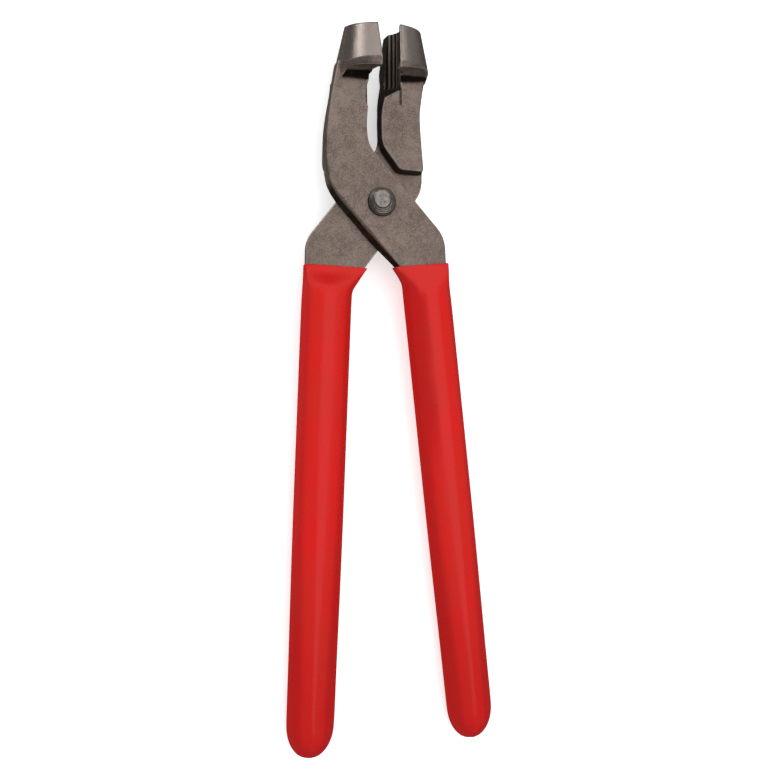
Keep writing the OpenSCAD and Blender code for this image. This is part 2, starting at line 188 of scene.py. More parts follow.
class Sheet:
    """The node tree of one material or of the surroundings."""

    def __init__(self, tree: bpy.types.NodeTree) -> None:
        """Starts from an empty tree."""
        self.tree = tree
        tree.nodes.clear()

    def add(
        self,
        kind: str,
        settings: dict[str, Any] | None = None,
        sockets: dict[str | int, Any] | None = None,
    ) -> bpy.types.Node:
        """Adds one node.

        Args:
            kind: Blender's type name of the node.
            settings: Properties of the node, set before its sockets.
            sockets: Values, expressions or sockets for its inputs, by name or place.

        Returns:
            The new node.
        """
        node = self.tree.nodes.new(kind)
        for name, setting in (settings or {}).items():
            setattr(node, name, setting)
        for key, given in (sockets or {}).items():
            source = given.socket if isinstance(given, Value) else given
            if isinstance(source, bpy.types.NodeSocket):
                self.tree.links.new(source, node.inputs[key])
            else:
                node.inputs[key].default_value = source
        return node

    def math(self, operation: str, *parts: Value | float) -> Value:
        """Adds a Math node.

        Args:
            operation: Blender's name of the operation.
            parts: Its operands.

        Returns:
            The result.
        """
        node = self.add("ShaderNodeMath", {"operation": operation}, dict(enumerate(parts)))
        return Value(self, node.outputs[0])

    def blend(self, amount: Value, below: Any, above: Any) -> bpy.types.NodeSocket:
        """Mixes two colours.

        Args:
            amount: How much of the second colour shows.
            below: First colour or socket.
            above: Second colour or socket.

        Returns:
            The mixed colour.
        """
        node = self.add(
            "ShaderNodeMix",
            {"data_type": "RGBA", "clamp_factor": True},
            {0: amount, 6: below, 7: above},
        )
        return node.outputs[2]

    def place(self, stretch: Sequence[float] = (1, 1, 1)) -> bpy.types.NodeSocket:
        """Object coordinates in metres, stretched along X, Y and Z."""
        where = self.add("ShaderNodeTexCoord").outputs["Object"]
        return self.add("ShaderNodeMapping", {}, {"Vector": where, "Scale": tuple(stretch)}).outputs[0]

    def downwards(self, start: float, end: float) -> Value:
        """Smooth step down the tool, between two distances below the arms' crossing.

        Args:
            start: Distance in millimetres that gives 0.
            end: Longer distance in millimetres that gives 1.

        Returns:
            A number from 0 to 1.
        """
        split = self.add("ShaderNodeSeparateXYZ", {}, {0: self.place()})
        return 1 - Value(self, split.outputs[1]).fade(seat(0, -end, 0).y, seat(0, -start, 0).y)

    def speckle(
        self, where: bpy.types.NodeSocket, size_mm: float, detail: float = 2.0, rough: float = 0.5
    ) -> Value:
        """Noise with spots of a given size.

        Args:
            where: Coordinates in metres.
            size_mm: Rough size of a spot in millimetres.
            detail: Number of finer layers.
            rough: Strength of the finer layers.

        Returns:
            A number round 0.5.
        """
        node = self.add(
            "ShaderNodeTexNoise",
            {},
            {"Vector": where, "Scale": 1 / (size_mm * MM), "Detail": detail, "Roughness": rough},
        )
        return Value(self, node.outputs[0])

    def mark(self, mark: Mark) -> Value:
        """What is painted on the points of the piece."""
        node = self.add("ShaderNodeAttribute", {"attribute_name": mark.value})
        return Value(self, node.outputs["Fac"])

    def relief(
        self, height: Value, depth_mm: float, strength: float = 1.0, under: Any = None
    ) -> bpy.types.NodeSocket:
        """Small bumps from a height.

        Args:
            height: The height, from 0 to 1.
            depth_mm: What a height of 1 is in millimetres.
            strength: Strength of the bumps.
            under: Normal of the bumps below these, if any.

        Returns:
            The bumped normal.
        """
        sockets: dict[str | int, Any] = {"Height": height, "Distance": depth_mm * MM, "Strength": strength}
        if under is not None:
            sockets["Normal"] = under
        return self.add("ShaderNodeBump", {}, sockets).outputs[0]

    def surface(self, sockets: dict[str | int, Any]) -> None:
        """Ends the sheet in one surface.

        Args:
            sockets: Values, expressions or sockets for the surface's inputs.
        """
        shader = self.add("ShaderNodeBsdfPrincipled", {}, sockets)
        self.add("ShaderNodeOutputMaterial", {}, {"Surface": shader.outputs[0]})


def new_material(name: str) -> tuple[bpy.types.Material, Sheet]:
    """Makes a material with an empty sheet.

    Args:
        name: Name of the material.

    Returns:
        The material and its sheet.
    """
    material = bpy.data.materials.new(name)
    material.use_nodes = True
    return material, Sheet(material.node_tree)


Colour = tuple[float, float, float, float]


# Finishes


@dataclass(frozen=True)
class ForgedSteel:
    """Drop-forged tool steel: brown scale on its faces, turned bright on the jaws, with painted highlight on
    its edges and painted shade on its walls, in its hollows and under its jaws' heads.
    """

    deep: Colour = (0.185, 0.143, 0.118, 1)
    raised: Colour = (0.365, 0.285, 0.243, 1)
    # Bright worn steel, also the painted highlight on the edges and the ribs' crests
    rubbed_and_highlight: Colour = (0.62, 0.54, 0.48, 1)
    turned_deep: Colour = (0.38, 0.315, 0.28, 1)
    turned_raised: Colour = (0.62, 0.53, 0.485, 1)
    # Dark mill scale, also the painted shade on the walls and under the rims' bevels
    scale_and_shade: Colour = (0.030, 0.019, 0.012, 1)
    # Near black of the painted shade in the corners, between the ribs and under the jaws' heads
    painted_shade: Colour = (0.012, 0.007, 0.004, 1)
    grain_mm: float = 0.5
    mottle_mm: float = 3.2
    cloud_mm: float = 14.0

    def make(self) -> bpy.types.Material:
        """Builds the material.

        Returns:
            The material of both arms.
        """
        material, sheet = new_material("forged_steel")
        where = sheet.place()
        grain = sheet.speckle(where, self.grain_mm, 3, 0.65)
        fine = sheet.speckle(where, self.grain_mm * 0.42, 2, 0.6)
        mottle = sheet.speckle(where, self.mottle_mm, 4, 0.6)
        cloud = sheet.speckle(where, self.cloud_mm, 2, 0.5)
        edge, nook = sheet.mark(Mark.EDGE), sheet.mark(Mark.NOOK)
        wall, painted_shade = sheet.mark(Mark.WALL), sheet.mark(Mark.SHADE_UNDER_HEADS)
        turned = sheet.mark(Mark.TURNED)
        tone = (0.56 * grain + 0.22 * mottle + 0.22 * cloud).fade(0.4, 0.6)
        body = sheet.blend(tone, self.deep, self.raised)
        bright = sheet.blend((0.5 * fine + 0.5 * grain).fade(0.3, 0.7), self.turned_deep, self.turned_raised)
        body = sheet.blend(turned, body, bright)
        # Mill scale together with painted shade on the walls
        walled = sheet.blend(wall * (1.15 - 0.4 * mottle), body, self.scale_and_shade)
        # Painted shade in the corners, between the ribs and under the jaws' heads
        dim = (0.85 * nook + 0.95 * painted_shade * (1.25 - 0.5 * mottle)).fade(0.05, 0.95)
        dimmed = sheet.blend(dim, walled, self.painted_shade)
        # Edges painted bright, partly wear and partly painted highlight, less of it under the jaws' heads
        worn_and_highlight = (edge * (0.5 + 1.1 * mottle) * (1 - 0.6 * painted_shade)).fade(0.3, 0.8)
        colour = sheet.blend(0.9 * worn_and_highlight, dimmed, self.rubbed_and_highlight)
        rough = 0.45 + 0.16 * (grain - 0.5) + 0.12 * dim - 0.12 * worn_and_highlight - 0.26 * turned
        metal = 0.75 + 0.17 * turned + 0.08 * worn_and_highlight
        bumps = sheet.relief(0.65 * grain + 0.35 * fine, 0.16, 0.6)
        bumps = sheet.relief(mottle, 0.35, 0.2, bumps)
        sheet.surface({"Base Color": colour, "Metallic": metal, "Roughness": rough, "Normal": bumps})
        return material


@dataclass(frozen=True)
class RivetSteel:
    """Bright soft steel of a hand-closed rivet, dark in its dents, with painted shadow round the foot of its
    head.
    """

    dull: Colour = (0.22, 0.185, 0.16, 1)
    bright: Colour = (0.50, 0.46, 0.43, 1)
    # Dark of the dents and of the painted shadow round the head's foot
    shadow_and_dent_dark: Colour = (0.04, 0.028, 0.02, 1)

    def make(self) -> bpy.types.Material:
        """Builds the material.

        Returns:
            The material of the rivet.
        """
        material, sheet = new_material("rivet_steel")
        where = sheet.place()
        grain = sheet.speckle(where, 0.4, 3, 0.6)
        dents = sheet.speckle(where, 1.3, 2, 0.5)
        edge = sheet.mark(Mark.EDGE)
        nook = sheet.mark(Mark.NOOK)
        wall = sheet.mark(Mark.WALL)
        tone = (0.45 * grain + 0.55 * dents + 0.35 * edge).fade(0.3, 0.75)
        colour = sheet.blend(tone, self.dull, self.bright)
        colour = sheet.blend((0.9 * nook + 0.75 * wall).fade(0.1, 0.9), colour, self.shadow_and_dent_dark)
        bumps = sheet.relief(0.4 * grain + 0.6 * dents, 0.25, 0.5)
        rough = 0.36 + 0.15 * (grain - 0.5)
        sheet.surface({"Base Color": colour, "Metallic": 0.95, "Roughness": rough, "Normal": bumps})
        return material


@dataclass(frozen=True)
class DippedVinyl:
    """Glossy red vinyl that the handles were dipped in, deeper red where it ran thick towards the ends, with
    painted shade on the grips' sides, lips and a stripe down the front.
    """

    red: Colour = (0.60, 0.0080, 0.0070, 1)
    thin: Colour = (0.54, 0.012, 0.006, 1)
    # Deeper red of thick vinyl, also the painted shade on the grips' sides, lips and front stripe
    thick: Colour = (0.36, 0.004, 0.0035, 1)
    roughness: float = 0.27
    shine: float = 0.26
    darkens_from: float = 120.0
    darkest_at: float = 225.0

    def make(self) -> bpy.types.Material:
        """Builds the material.

        Returns:
            The material of both grips.
        """
        material, sheet = new_material("dipped_vinyl")
        where = sheet.place((1, 0.45, 1))
        flow = sheet.speckle(where, 9.0, 2, 0.5)
        pits = sheet.speckle(where, 1.1, 2, 0.5)
        side = sheet.mark(Mark.WALL)
        colour = sheet.blend((0.7 * flow + 0.3 * pits).fade(0.35, 0.7), self.red, self.thin)
        low = sheet.downwards(self.darkens_from, self.darkest_at)
        # Darker towards the ends where the vinyl ran thick, and painted shade where marked
        run_and_shade = (0.5 * low + 0.62 * side).fade(0.0, 1.0)
        colour = sheet.blend(0.85 * run_and_shade, colour, self.thick)
        bumps = sheet.relief(flow, 0.5, 0.12)
        bumps = sheet.relief(pits, 0.06, 0.12, bumps)
        rough = self.roughness + 0.12 * (flow - 0.5) + 0.06 * (pits - 0.5)
        sheet.surface(
            {"Base Color": colour, "Roughness": rough, "Specular IOR Level": self.shine, "Normal": bumps}
        )
        return material


@dataclass(frozen=True)
class PaleFloor:
    """Even white table."""

    white: Colour = (0.93, 0.93, 0.93, 1)
    glow: float = 0.46

    def make(self) -> bpy.types.Material:
        """Builds the material.

        Returns:
            The material of the floor.
        """
        material, sheet = new_material("pale_floor")
        sheet.surface(
            {
                "Base Color": self.white,
                "Roughness": 0.9,
                "Specular IOR Level": 0.0,
                "Emission Color": self.white,
                "Emission Strength": self.glow,
            }
        )
        return material


# Mesh helpers


def new_piece(name: str, shape: bmesh.types.BMesh, smooth: bool = True) -> bpy.types.Object:
    """Turns a finished bmesh into an object at the origin.

    Args:
        name: Name of the piece.
        shape: The bmesh, which is freed.
        smooth: Whether its faces are shaded smooth.

    Returns:
        The new object.
    """
    mesh = bpy.data.meshes.new(name)
    shape.to_mesh(mesh)
    shape.free()
    mesh.polygons.foreach_set("use_smooth", [smooth] * len(mesh.polygons))
    piece = bpy.data.objects.new(name, mesh)
    bpy.context.scene.collection.objects.link(piece)
    return piece


def points_of(mesh: bpy.types.Mesh) -> np.ndarray:
    """Places of a mesh's points, in metres of the shared frame."""
    flat = np.zeros(len(mesh.vertices) * 3)
    mesh.vertices.foreach_get("co", flat)
    return flat.reshape(-1, 3)


def normals_of(mesh: bpy.types.Mesh) -> np.ndarray:
    """Outward directions at a mesh's points."""
    flat = np.zeros(len(mesh.vertices) * 3)
    mesh.vertex_normals.foreach_get("vector", flat)
    return flat.reshape(-1, 3)


def standing_out(mesh: bpy.types.Mesh, rounds: int) -> np.ndarray:
    """How far each point stands out of its smoothed surroundings.

    Args:
        mesh: An even mesh.
        rounds: Rounds of smoothing, which set how wide the surroundings are.

    Returns:
        Distances in millimetres, above 0 on edges and below 0 in corners.
    """
    ends = np.zeros(len(mesh.edges) * 2, dtype=np.int64)
    mesh.edges.foreach_get("vertices", ends)
    one, other = ends[0::2], ends[1::2]
    start = points_of(mesh)
    count = len(start)
    share = np.maximum(np.bincount(one, minlength=count) + np.bincount(other, minlength=count), 1)
    even = start.copy()
    for _ in range(rounds):
        for axis in range(3):
            line = even[:, axis]
            near = np.bincount(one, line[other], count) + np.bincount(other, line[one], count)
            even[:, axis] = 0.4 * line + 0.6 * near / share
    return ((start - even) * normals_of(mesh)).sum(1) / MM


def seated(mesh: bpy.types.Mesh) -> np.ndarray:
    """Places of a mesh's points, in millimetres round the arms' crossing."""
    return (points_of(mesh) - np.array(CROSSING)) / MM


def paint(mesh: bpy.types.Mesh, mark: Mark, values: np.ndarray) -> None:
    """Keeps one number for each point of a mesh, for the finish to read.

    Args:
        mesh: The mesh.
        mark: What the number says.
        values: Numbers from 0 to 1.
    """
    layer = mesh.attributes.new(mark.value, "FLOAT", "POINT")
    layer.data.foreach_set("value", values.astype(np.float32))


def evenly_meshed(piece: bpy.types.Object, voxel_mm: float) -> bpy.types.Object:
    """Remeshes a closed piece with even small faces.

    Args:
        piece: The piece, whose mesh is replaced.
        voxel_mm: Size of the faces.

    Returns:
        The same piece.
    """
    remesh = piece.modifiers.new("even faces", "REMESH")
    remesh.mode = "VOXEL"
    remesh.voxel_size = voxel_mm * MM
    remesh.use_smooth_shade = True
    graph = bpy.context.evaluated_depsgraph_get()
    even = bpy.data.meshes.new_from_object(piece.evaluated_get(graph))
    rough = piece.data
    piece.modifiers.clear()
    piece.data = even
    even.name = piece.name
    bpy.data.meshes.remove(rough)
    return piece


# The pieces


@dataclass(frozen=True)
class JawShape:
    """The sizes of both jaws, from which the marks of turning and of the ribs are painted."""

    tip_y: float = 73.0
    tip_r: float = 12.6
    foot_y: float = 54.5
    foot_r: float = 17.2
    face_x: float = 2.2
    groove_r: float = 14.0
    groove_depth: float = 2.5
    groove_z: float = 3.1
    groove_lean: float = 3.3
    rib_pitch: float = 2.57
    turned_to: float = 63.0

    def inside(self, where: np.ndarray, tilt: float, side: int) -> tuple[np.ndarray, np.ndarray, np.ndarray]:
        """Coordinates in one jaw.

        Args:
            where: Points in millimetres round the arms' crossing.
            tilt: Tilt of the jaw's face in degrees.
            side: -1 for the left jaw and 1 for the right one.

        Returns:
            Depth behind the jaw's face, distance along its axis and height.
        """
        turn = math.radians(tilt)
        x, y = where[:, 0] - self.face_x, where[:, 1]
        depth = side * (math.cos(turn) * x + math.sin(turn) * y)
        return depth, math.cos(turn) * y - math.sin(turn) * x, where[:, 2]

    def turned(self, depth: np.ndarray, along: np.ndarray, height: np.ndarray, rim_y: float) -> np.ndarray:
        """Where the jaw's cone was turned smooth.

        Args:
            depth: Depths behind the face.
            along: Distances along the axis.
            height: Heights.
            rim_y: Distance of the rim from the rivet.

        Returns:
            Numbers from 0 to 1.
        """
        taper = (self.foot_r - self.tip_r) / (self.tip_y - self.foot_y)
        off = np.abs(np.hypot(depth, height) - self.foot_r + taper * (along - self.foot_y))
        round_it = np.degrees(np.arctan2(depth, height))
        near = (1 - ramp(off, 0.3, 0.6)) * ramp(depth, 0.1, 0.4)
        front = 1 - ramp(round_it, self.turned_to, self.turned_to + 3)
        return near * front * ramp(along, rim_y, rim_y + 0.4)

    def ribs(
        self, depth: np.ndarray, along: np.ndarray, height: np.ndarray
    ) -> tuple[np.ndarray, np.ndarray]:
        """Crests and bottoms of the ribs in the groove, which get a painted highlight and painted shade.

        Args:
            depth: Depths behind the face.
            along: Distances along the axis.
            height: Heights.

        Returns:
            Two arrays of numbers from 0 to 1.
        """
        floor = self.groove_r - self.groove_depth
        sunk = depth - (self.tip_y - along) * math.tan(math.radians(self.groove_lean)) + floor
        reach = np.hypot(sunk, height - self.groove_z)
        arc = np.arctan2(height - self.groove_z, sunk) * self.groove_r
        there = ramp(reach, self.groove_r - 0.5, self.groove_r - 0.2) * ramp(along, 40, 42)
        there *= (1 - ramp(reach, self.groove_r + 0.9, self.groove_r + 1.2)) * ramp(depth, 0.05, 0.3)
        wave = np.cos(math.tau * arc / self.rib_pitch)
        return there * ramp(wave, 0.35, 0.95), there * ramp(-wave, -0.35, 0.5)


@dataclass
class ForgedArm:
    """One forged arm: its ribbed half-cone jaw, its stem, its lap and the start of its handle."""

    name: str
    node: str
    body: Body
    side: int
    tilt: float
    rim_y: float
    # How much painted shade the walls that don't face down get, from 0 to 1
    wall_shade: float
    jaw: JawShape = JawShape()
    ends_at: float = 35.5
    voxel: float = 0.34
    softening: int = 2
    unevenness: float = 0.045
    face_z: float = 5.0
    bevel_h: float = 3.7

    def build(self) -> bpy.types.Object:
        """Makes the arm from a copy of its CAD solid, with softly rounded edges.

        Returns:
            The arm.
        """
        shape = bmesh.new()
        shape.from_mesh(frame["nodes"][self.node].data)
        bmesh.ops.remove_doubles(shape, verts=shape.verts, dist=1e-6)
        cut = bmesh.ops.bisect_plane(
            shape,
            geom=shape.verts[:] + shape.edges[:] + shape.faces[:],
            dist=1e-7,
            plane_co=seat(0, -self.ends_at, 0),
            plane_no=(0, -1, 0),
            clear_outer=True,
        )
        rim = [e for e in cut["geom_cut"] if isinstance(e, bmesh.types.BMEdge)]
        bmesh.ops.holes_fill(shape, edges=rim, sides=0)
        bmesh.ops.triangulate(shape, faces=shape.faces[:])
        piece = evenly_meshed(new_piece(self.name, shape), self.voxel)
        self.soften(piece.data)
        return piece

    def soften(self, mesh: bpy.types.Mesh) -> None:
        """Rounds the edges a little and gives the faces the slight waves of a forging.

        Args:
            mesh: The arm's even mesh.
        """
        shape = bmesh.new()
        shape.from_mesh(mesh)
        for _ in range(self.softening):
            bmesh.ops.smooth_vert(
                shape, verts=shape.verts, factor=0.5, use_axis_x=True, use_axis_y=True, use_axis_z=True
            )
        shape.normal_update()
        for point in shape.verts:
            wide = noise.noise(point.co * 220)
            small = noise.noise(point.co * 900)
            point.co += point.normal * (0.65 * wide + 0.35 * small) * self.unevenness * MM
        shape.to_mesh(mesh)
        shape.free()
        mesh.polygons.foreach_set("use_smooth", [True] * len(mesh.polygons))

    def walls(self, where: np.ndarray, facing: np.ndarray) -> np.ndarray:
        """How dark the forging's upright walls are painted: mill scale together with painted shade,
        strongest on walls that face down the tool.

        Args:
            where: Points in millimetres round the arms' crossing.
            facing: Outward directions at the points.

        Returns:
            Numbers from 0 to 1.
        """
        below_rim = 1 - ramp(where[:, 1], self.rim_y - 9, self.rim_y - 4)
        upright = ramp(1 - np.abs(facing[:, 2]), 0.3, 0.6)
        downward = ramp(-facing[:, 1], 0.15, 0.5)
        return upright * below_rim * (self.wall_shade + (1 - self.wall_shade) * downward)

    def dress(self, piece: bpy.types.Object, steel: bpy.types.Material) -> None:
        """Paints the marks of making and wear, painted shade and painted highlight on the arm, gives it its
        finish and hangs it.

        Args:
            piece: The arm.
            steel: Its finish.
        """
        mesh = piece.data
        out, wide = standing_out(mesh, 10), standing_out(mesh, 60)
        where, facing = seated(mesh), normals_of(mesh)
        inside = self.jaw.inside(where, self.tilt, self.side)
        # Painted highlight on the rib crests and painted shade in the rib bottoms
        crest, bottom = self.jaw.ribs(*inside)
        in_groove = np.maximum(crest, bottom)
        face = (1 - ramp(np.abs(inside[0]), 0.5, 0.9)) * ramp(where[:, 1], 42, 46) * (1 - in_groove)
        # Surfaces that face down under the jaws' heads, where painted shade goes
        under = ramp(-facing[:, 1], 0.1, 0.55) * ramp(where[:, 2], self.face_z + 0.1, self.face_z + 1.2)
        near_rim = ramp(where[:, 1], self.rim_y - 13, self.rim_y - 8)
        foot_y = self.rim_y - self.bevel_h
        below_bevel = 1 - ramp(where[:, 1], foot_y - 0.5, foot_y + 0.5)
        bevel = under * near_rim * (1 - below_bevel)
        # Wear together with painted highlight on the edges, apart from the groove
        edge = ramp(out, 0.04, 0.17) * (1 - in_groove)
        # Painted shade in the corners, narrow and wide
        nook = ramp(-out, 0.05, 0.22) * 0.8 + ramp(-wide, 0.2, 0.7) * 0.4
        paint(mesh, Mark.EDGE, np.maximum(edge, crest))
        paint(mesh, Mark.NOOK, np.maximum(nook * (1 - crest), bottom))
        # The jaw's flat face darker, and painted shade under the rim's bevel
        scale_and_shade = np.maximum(0.75 * face, 0.3 * bevel)
        paint(mesh, Mark.WALL, np.maximum(self.walls(where, facing), scale_and_shade))
        # Painted shade under the jaws' heads, light on the bevel and full in the hollow below it
        paint(mesh, Mark.SHADE_UNDER_HEADS, under * near_rim * (0.2 + 0.8 * below_bevel))
        paint(mesh, Mark.TURNED, self.jaw.turned(*inside, self.rim_y))
        mesh.materials.clear()
        mesh.materials.append(steel)
        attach(piece, self.body.value)
        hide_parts(self.node)


@dataclass
class Rivet:
    """The rivet on which the arms turn, with one hammered head and one low head."""

    lap: float = 5.0
    slack: float = 0.1
    shank: float = 4.5
    steps: int = 120
    dent: float = 0.1
    leans: tuple[float, float] = (-0.5, 0.8)
    head: tuple[tuple[float, float], ...] = (
        (0.0, 3.2), (1.0, 3.2), (2.0, 3.19), (2.9, 3.15), (3.35, 3.08), (3.66, 2.92), (3.84, 2.66),
        (3.98, 2.5), (4.16, 2.52), (4.3, 2.44), (4.44, 2.2), (4.6, 2.2), (4.74, 2.1), (4.88, 1.88),
        (5.04, 1.87), (5.18, 1.74), (5.34, 1.48), (5.56, 1.3), (5.78, 1.06), (5.96, 0.72),
        (6.06, 0.36), (6.08, 0.06), (6.0, 0.0),
    )
    tail: tuple[tuple[float, float], ...] = (
        (6.0, 0.0), (6.1, 0.25), (6.1, 0.9), (5.85, 1.35), (5.2, 1.8), (4.4, 2.08), (3.6, 2.24),
        (2.6, 2.33), (1.3, 2.37), (0.0, 2.38),
    )

    def build(self) -> bpy.types.Object:
        """Spins the rivet from its outline and dents the hammered head.

        Returns:
            The rivet.
        """
        outline = [(r, self.lap + z) for r, z in self.head]
        outline += [(self.shank, self.lap), (self.shank, 0.0), (self.shank, -self.lap - self.slack)]
        outline += [(r, -self.lap - self.slack - z) for r, z in self.tail]
        shape = bmesh.new()
        points = [shape.verts.new(seat(RIVET_X + r, 0, z)) for r, z in outline]
        for one, other in zip(points, points[1:]):
            shape.edges.new((one, other))
        bmesh.ops.spin(
            shape,
            geom=shape.verts[:] + shape.edges[:],
            cent=seat(RIVET_X, 0, 0),
            axis=(0, 0, 1),
            angle=math.tau,
            steps=self.steps,
            use_merge=True,
        )
        bmesh.ops.remove_doubles(shape, verts=shape.verts, dist=2e-6)
        bmesh.ops.recalc_face_normals(shape, faces=shape.faces)
        self.hammer(shape)
        return new_piece("rivet_body", shape)

    def hammer(self, shape: bmesh.types.BMesh) -> None:
        """Dents the head and pushes its top aside, where the hammer closed it.

        Args:
            shape: The spun rivet.
        """
        shape.normal_update()
        for point in shape.verts:
            local = (point.co - seat(RIVET_X, 0, self.lap)) / MM
            reach = math.hypot(local.x, local.y)
            if local.z <= 0.3 or reach >= 5.6:
                continue
            pushed = ease((5.6 - reach) / 1.8)
            point.co += Vector((*self.leans, 0)) * pushed * MM
            lump = noise.noise(point.co * 800) + 0.5 * noise.noise(point.co * 2100)
            rise = mix(1.0, 0.55, ease(reach / 5.6))
            point.co += point.normal * lump * self.dent * rise * MM

    def dress(self, piece: bpy.types.Object, steel: bpy.types.Material) -> None:
        """Paints wear, darker dents and a painted shadow round the head's foot on the rivet, gives it its
        finish and hangs it on the front arm.

        Args:
            piece: The rivet.
            steel: Its finish.
        """
        mesh = piece.data
        where = seated(mesh)
        reach = np.hypot(where[:, 0] - RIVET_X, where[:, 1])
        height = where[:, 2] - self.lap
        out = standing_out(mesh, 2)
        paint(mesh, Mark.EDGE, ramp(out, 0.005, 0.06))
        paint(mesh, Mark.NOOK, ramp(-out, 0.005, 0.06))
        # Painted shadow in a ring round the foot of the hammered head
        paint(mesh, Mark.WALL, ramp(reach, 5.3, 5.95) * (1 - ramp(height, 0.7, 1.4)))
        mesh.materials.append(steel)
        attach(piece, Body.FRONT.value)
        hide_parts("rivet")


@dataclass
class DippedGrip:
    """One grip: the thick vinyl skin that dipping left on a handle, from its lip to its drip.

    One field holds the Y and X of a few points along the middle of a stripe of painted shade down the front.
    """

    name: str
    node: str
    body: Body
    base_x: float
    splay: float
    lip_in: float
    flare: float
    turned: bool
    shade_stripe: tuple[tuple[float, float], ...] = ()
    lip_y: float = 25.8
    tail_y: float = 227.4
    width: float = 21.2
    thick: float = 13.4
    lip_out: float = 9.6
    lip_coat: float = 0.6
    lip_side: float = 1.3
    lap: float = 5.0
    swell: float = 12.5
    end_len: float = 14.0
    flat_near: float = 3.9
    flat_tail: float = 1.2
    flat_shift: float = 0.5
    side_flat: float = 2.3
    tail_taper: float = 0.5
    pocket: float = 11.0
    stops: tuple[float, ...] = (
        0.9, 2.5, 5, 7.5, 10.3, 13.5, 18, 26, 36, 45, 60, 75, 90, 105, 120, 135, 148, 160, 168, 176,
    )

    @property
    def total(self) -> float:
        """Length of the grip along its own middle line."""
        return (self.tail_y - self.lip_y) / math.cos(math.radians(self.splay))

    @property
    def length(self) -> float:
        """Distance from the lip to where the round end starts."""
        return self.total - self.end_len

    def section(self, d: float, skin: float = 0.0, side_skin: float = 0.0) -> list[tuple[float, float]]:
        """The grip's cross-section at one distance from the lip.

        Args:
            d: Distance from the lip.
            skin: How far the ring lies under the two faces.
            side_skin: How far the ring lies under the two narrow sides.

        Returns:
            24 points, three at each of eight corners.
        """
        half_w, half_t = self.width / 2, self.thick / 2
        opened = ease(d / self.swell)
        w = mix(half_w, half_w - self.tail_taper, ease((d - 100) / (self.length - 100)))
        u_in = -mix(self.lip_in, w, min(1.0, max(0.0, d) / self.flare)) + side_skin
        u_out = mix(self.lip_out, w, ease(d / 15)) - side_skin
        flat = mix(self.flat_near, self.flat_tail, ease((d - 60) / (self.length - 60)))
        f_in = mix(u_in + 0.9, self.flat_shift - flat, opened)
        f_out = mix(u_out - 0.9, self.flat_shift + flat, opened)
        z_face = mix(self.lap + self.lip_coat, half_t, ease(d / 20)) - skin
        z_back = mix(self.lip_coat, half_t, opened) - skin
        side_h = mix((z_face + z_back) / 2 - 0.7, self.side_flat, opened)
        return self.rounded(u_in, u_out, f_in, f_out, z_face, z_back, side_h)

    @staticmethod
    def rounded(
        u_in: float, u_out: float, f_in: float, f_out: float, z_face: float, z_back: float, side_h: float
    ) -> list[tuple[float, float]]:
        """Eight corners with three points each.

        Args:
            u_in: Inner side.
            u_out: Outer side.
            f_in: Inner edge of the two flats.
            f_out: Outer edge of the two flats.
            z_face: Height of the upper flat.
            z_back: Depth of the lower flat.
            side_h: Half height of the narrow sides.

        Returns:
            The 24 points.
        """
        mid = (z_face - z_back) / 2
        corners = [
            Vector(c)
            for c in (
                (f_in, z_face), (u_in, mid + side_h), (u_in, mid - side_h), (f_in, -z_back),
                (f_out, -z_back), (u_out, mid - side_h), (u_out, mid + side_h), (f_out, z_face),
            )
        ]
        ring: list[tuple[float, float]] = []
        for i, corner in enumerate(corners):
            before, after = corners[i - 1], corners[(i + 1) % 8]
            ring.append(tuple(corner.lerp(before, 0.3)))
            ring.append(tuple(corner * 0.7 + (before + after) * 0.15))
            ring.append(tuple(corner.lerp(after, 0.3)))
        return ring

    def rings(self) -> list[tuple[float, list[tuple[float, float]]]]:
        """All rings, from the pocket's floor over the lip to the drip at the end.

        Returns:
            Pairs of a distance from the lip and a cross-section.
        """
        coat, side = self.lip_coat + 0.12, self.lip_side + 0.12
        made = [
            (self.pocket, self.section(self.pocket, 1.7, 1.7)),
            (self.pocket * 0.5, self.section(self.pocket * 0.5, 1.4, 1.7)),
            (1.2, self.section(0, coat, side)),
            (0.1, self.section(0, coat, side)),
            (-0.04, self.section(0, coat - 0.2, side - 0.25)),
            (-0.05, self.section(0, 0.3, 0.5)),
            (0.05, self.section(0, 0.1, 0.15)),
            (0.3, self.section(0.3, 0.0, 0.0)),
        ]
        made += [(d, self.section(d)) for d in self.stops]
        made.append((self.length, self.section(self.length)))
        half_t, tail_w = self.thick / 2, self.width / 2 - self.tail_taper
        for degrees in (15, 30, 45, 60, 68, 75, 80):
            lean = math.radians(degrees)
            w = tail_w * math.cos(lean) ** 0.85
            t = half_t * math.cos(lean) ** 0.75
            flat = self.flat_tail * math.cos(lean)
            ring = self.rounded(-w, w, -flat, flat, t, t, t * 0.45)
            made.append((self.length + self.end_len * math.sin(lean), ring))
        for back, r in ((0.12, 1.35), (-0.25, 0.95), (-0.55, 0.7), (-0.75, 0.35)):
            made.append((self.total - back - 0.9, self.rounded(-r, r, -r * 0.45, r * 0.45, r, r, r * 0.45)))
        return made

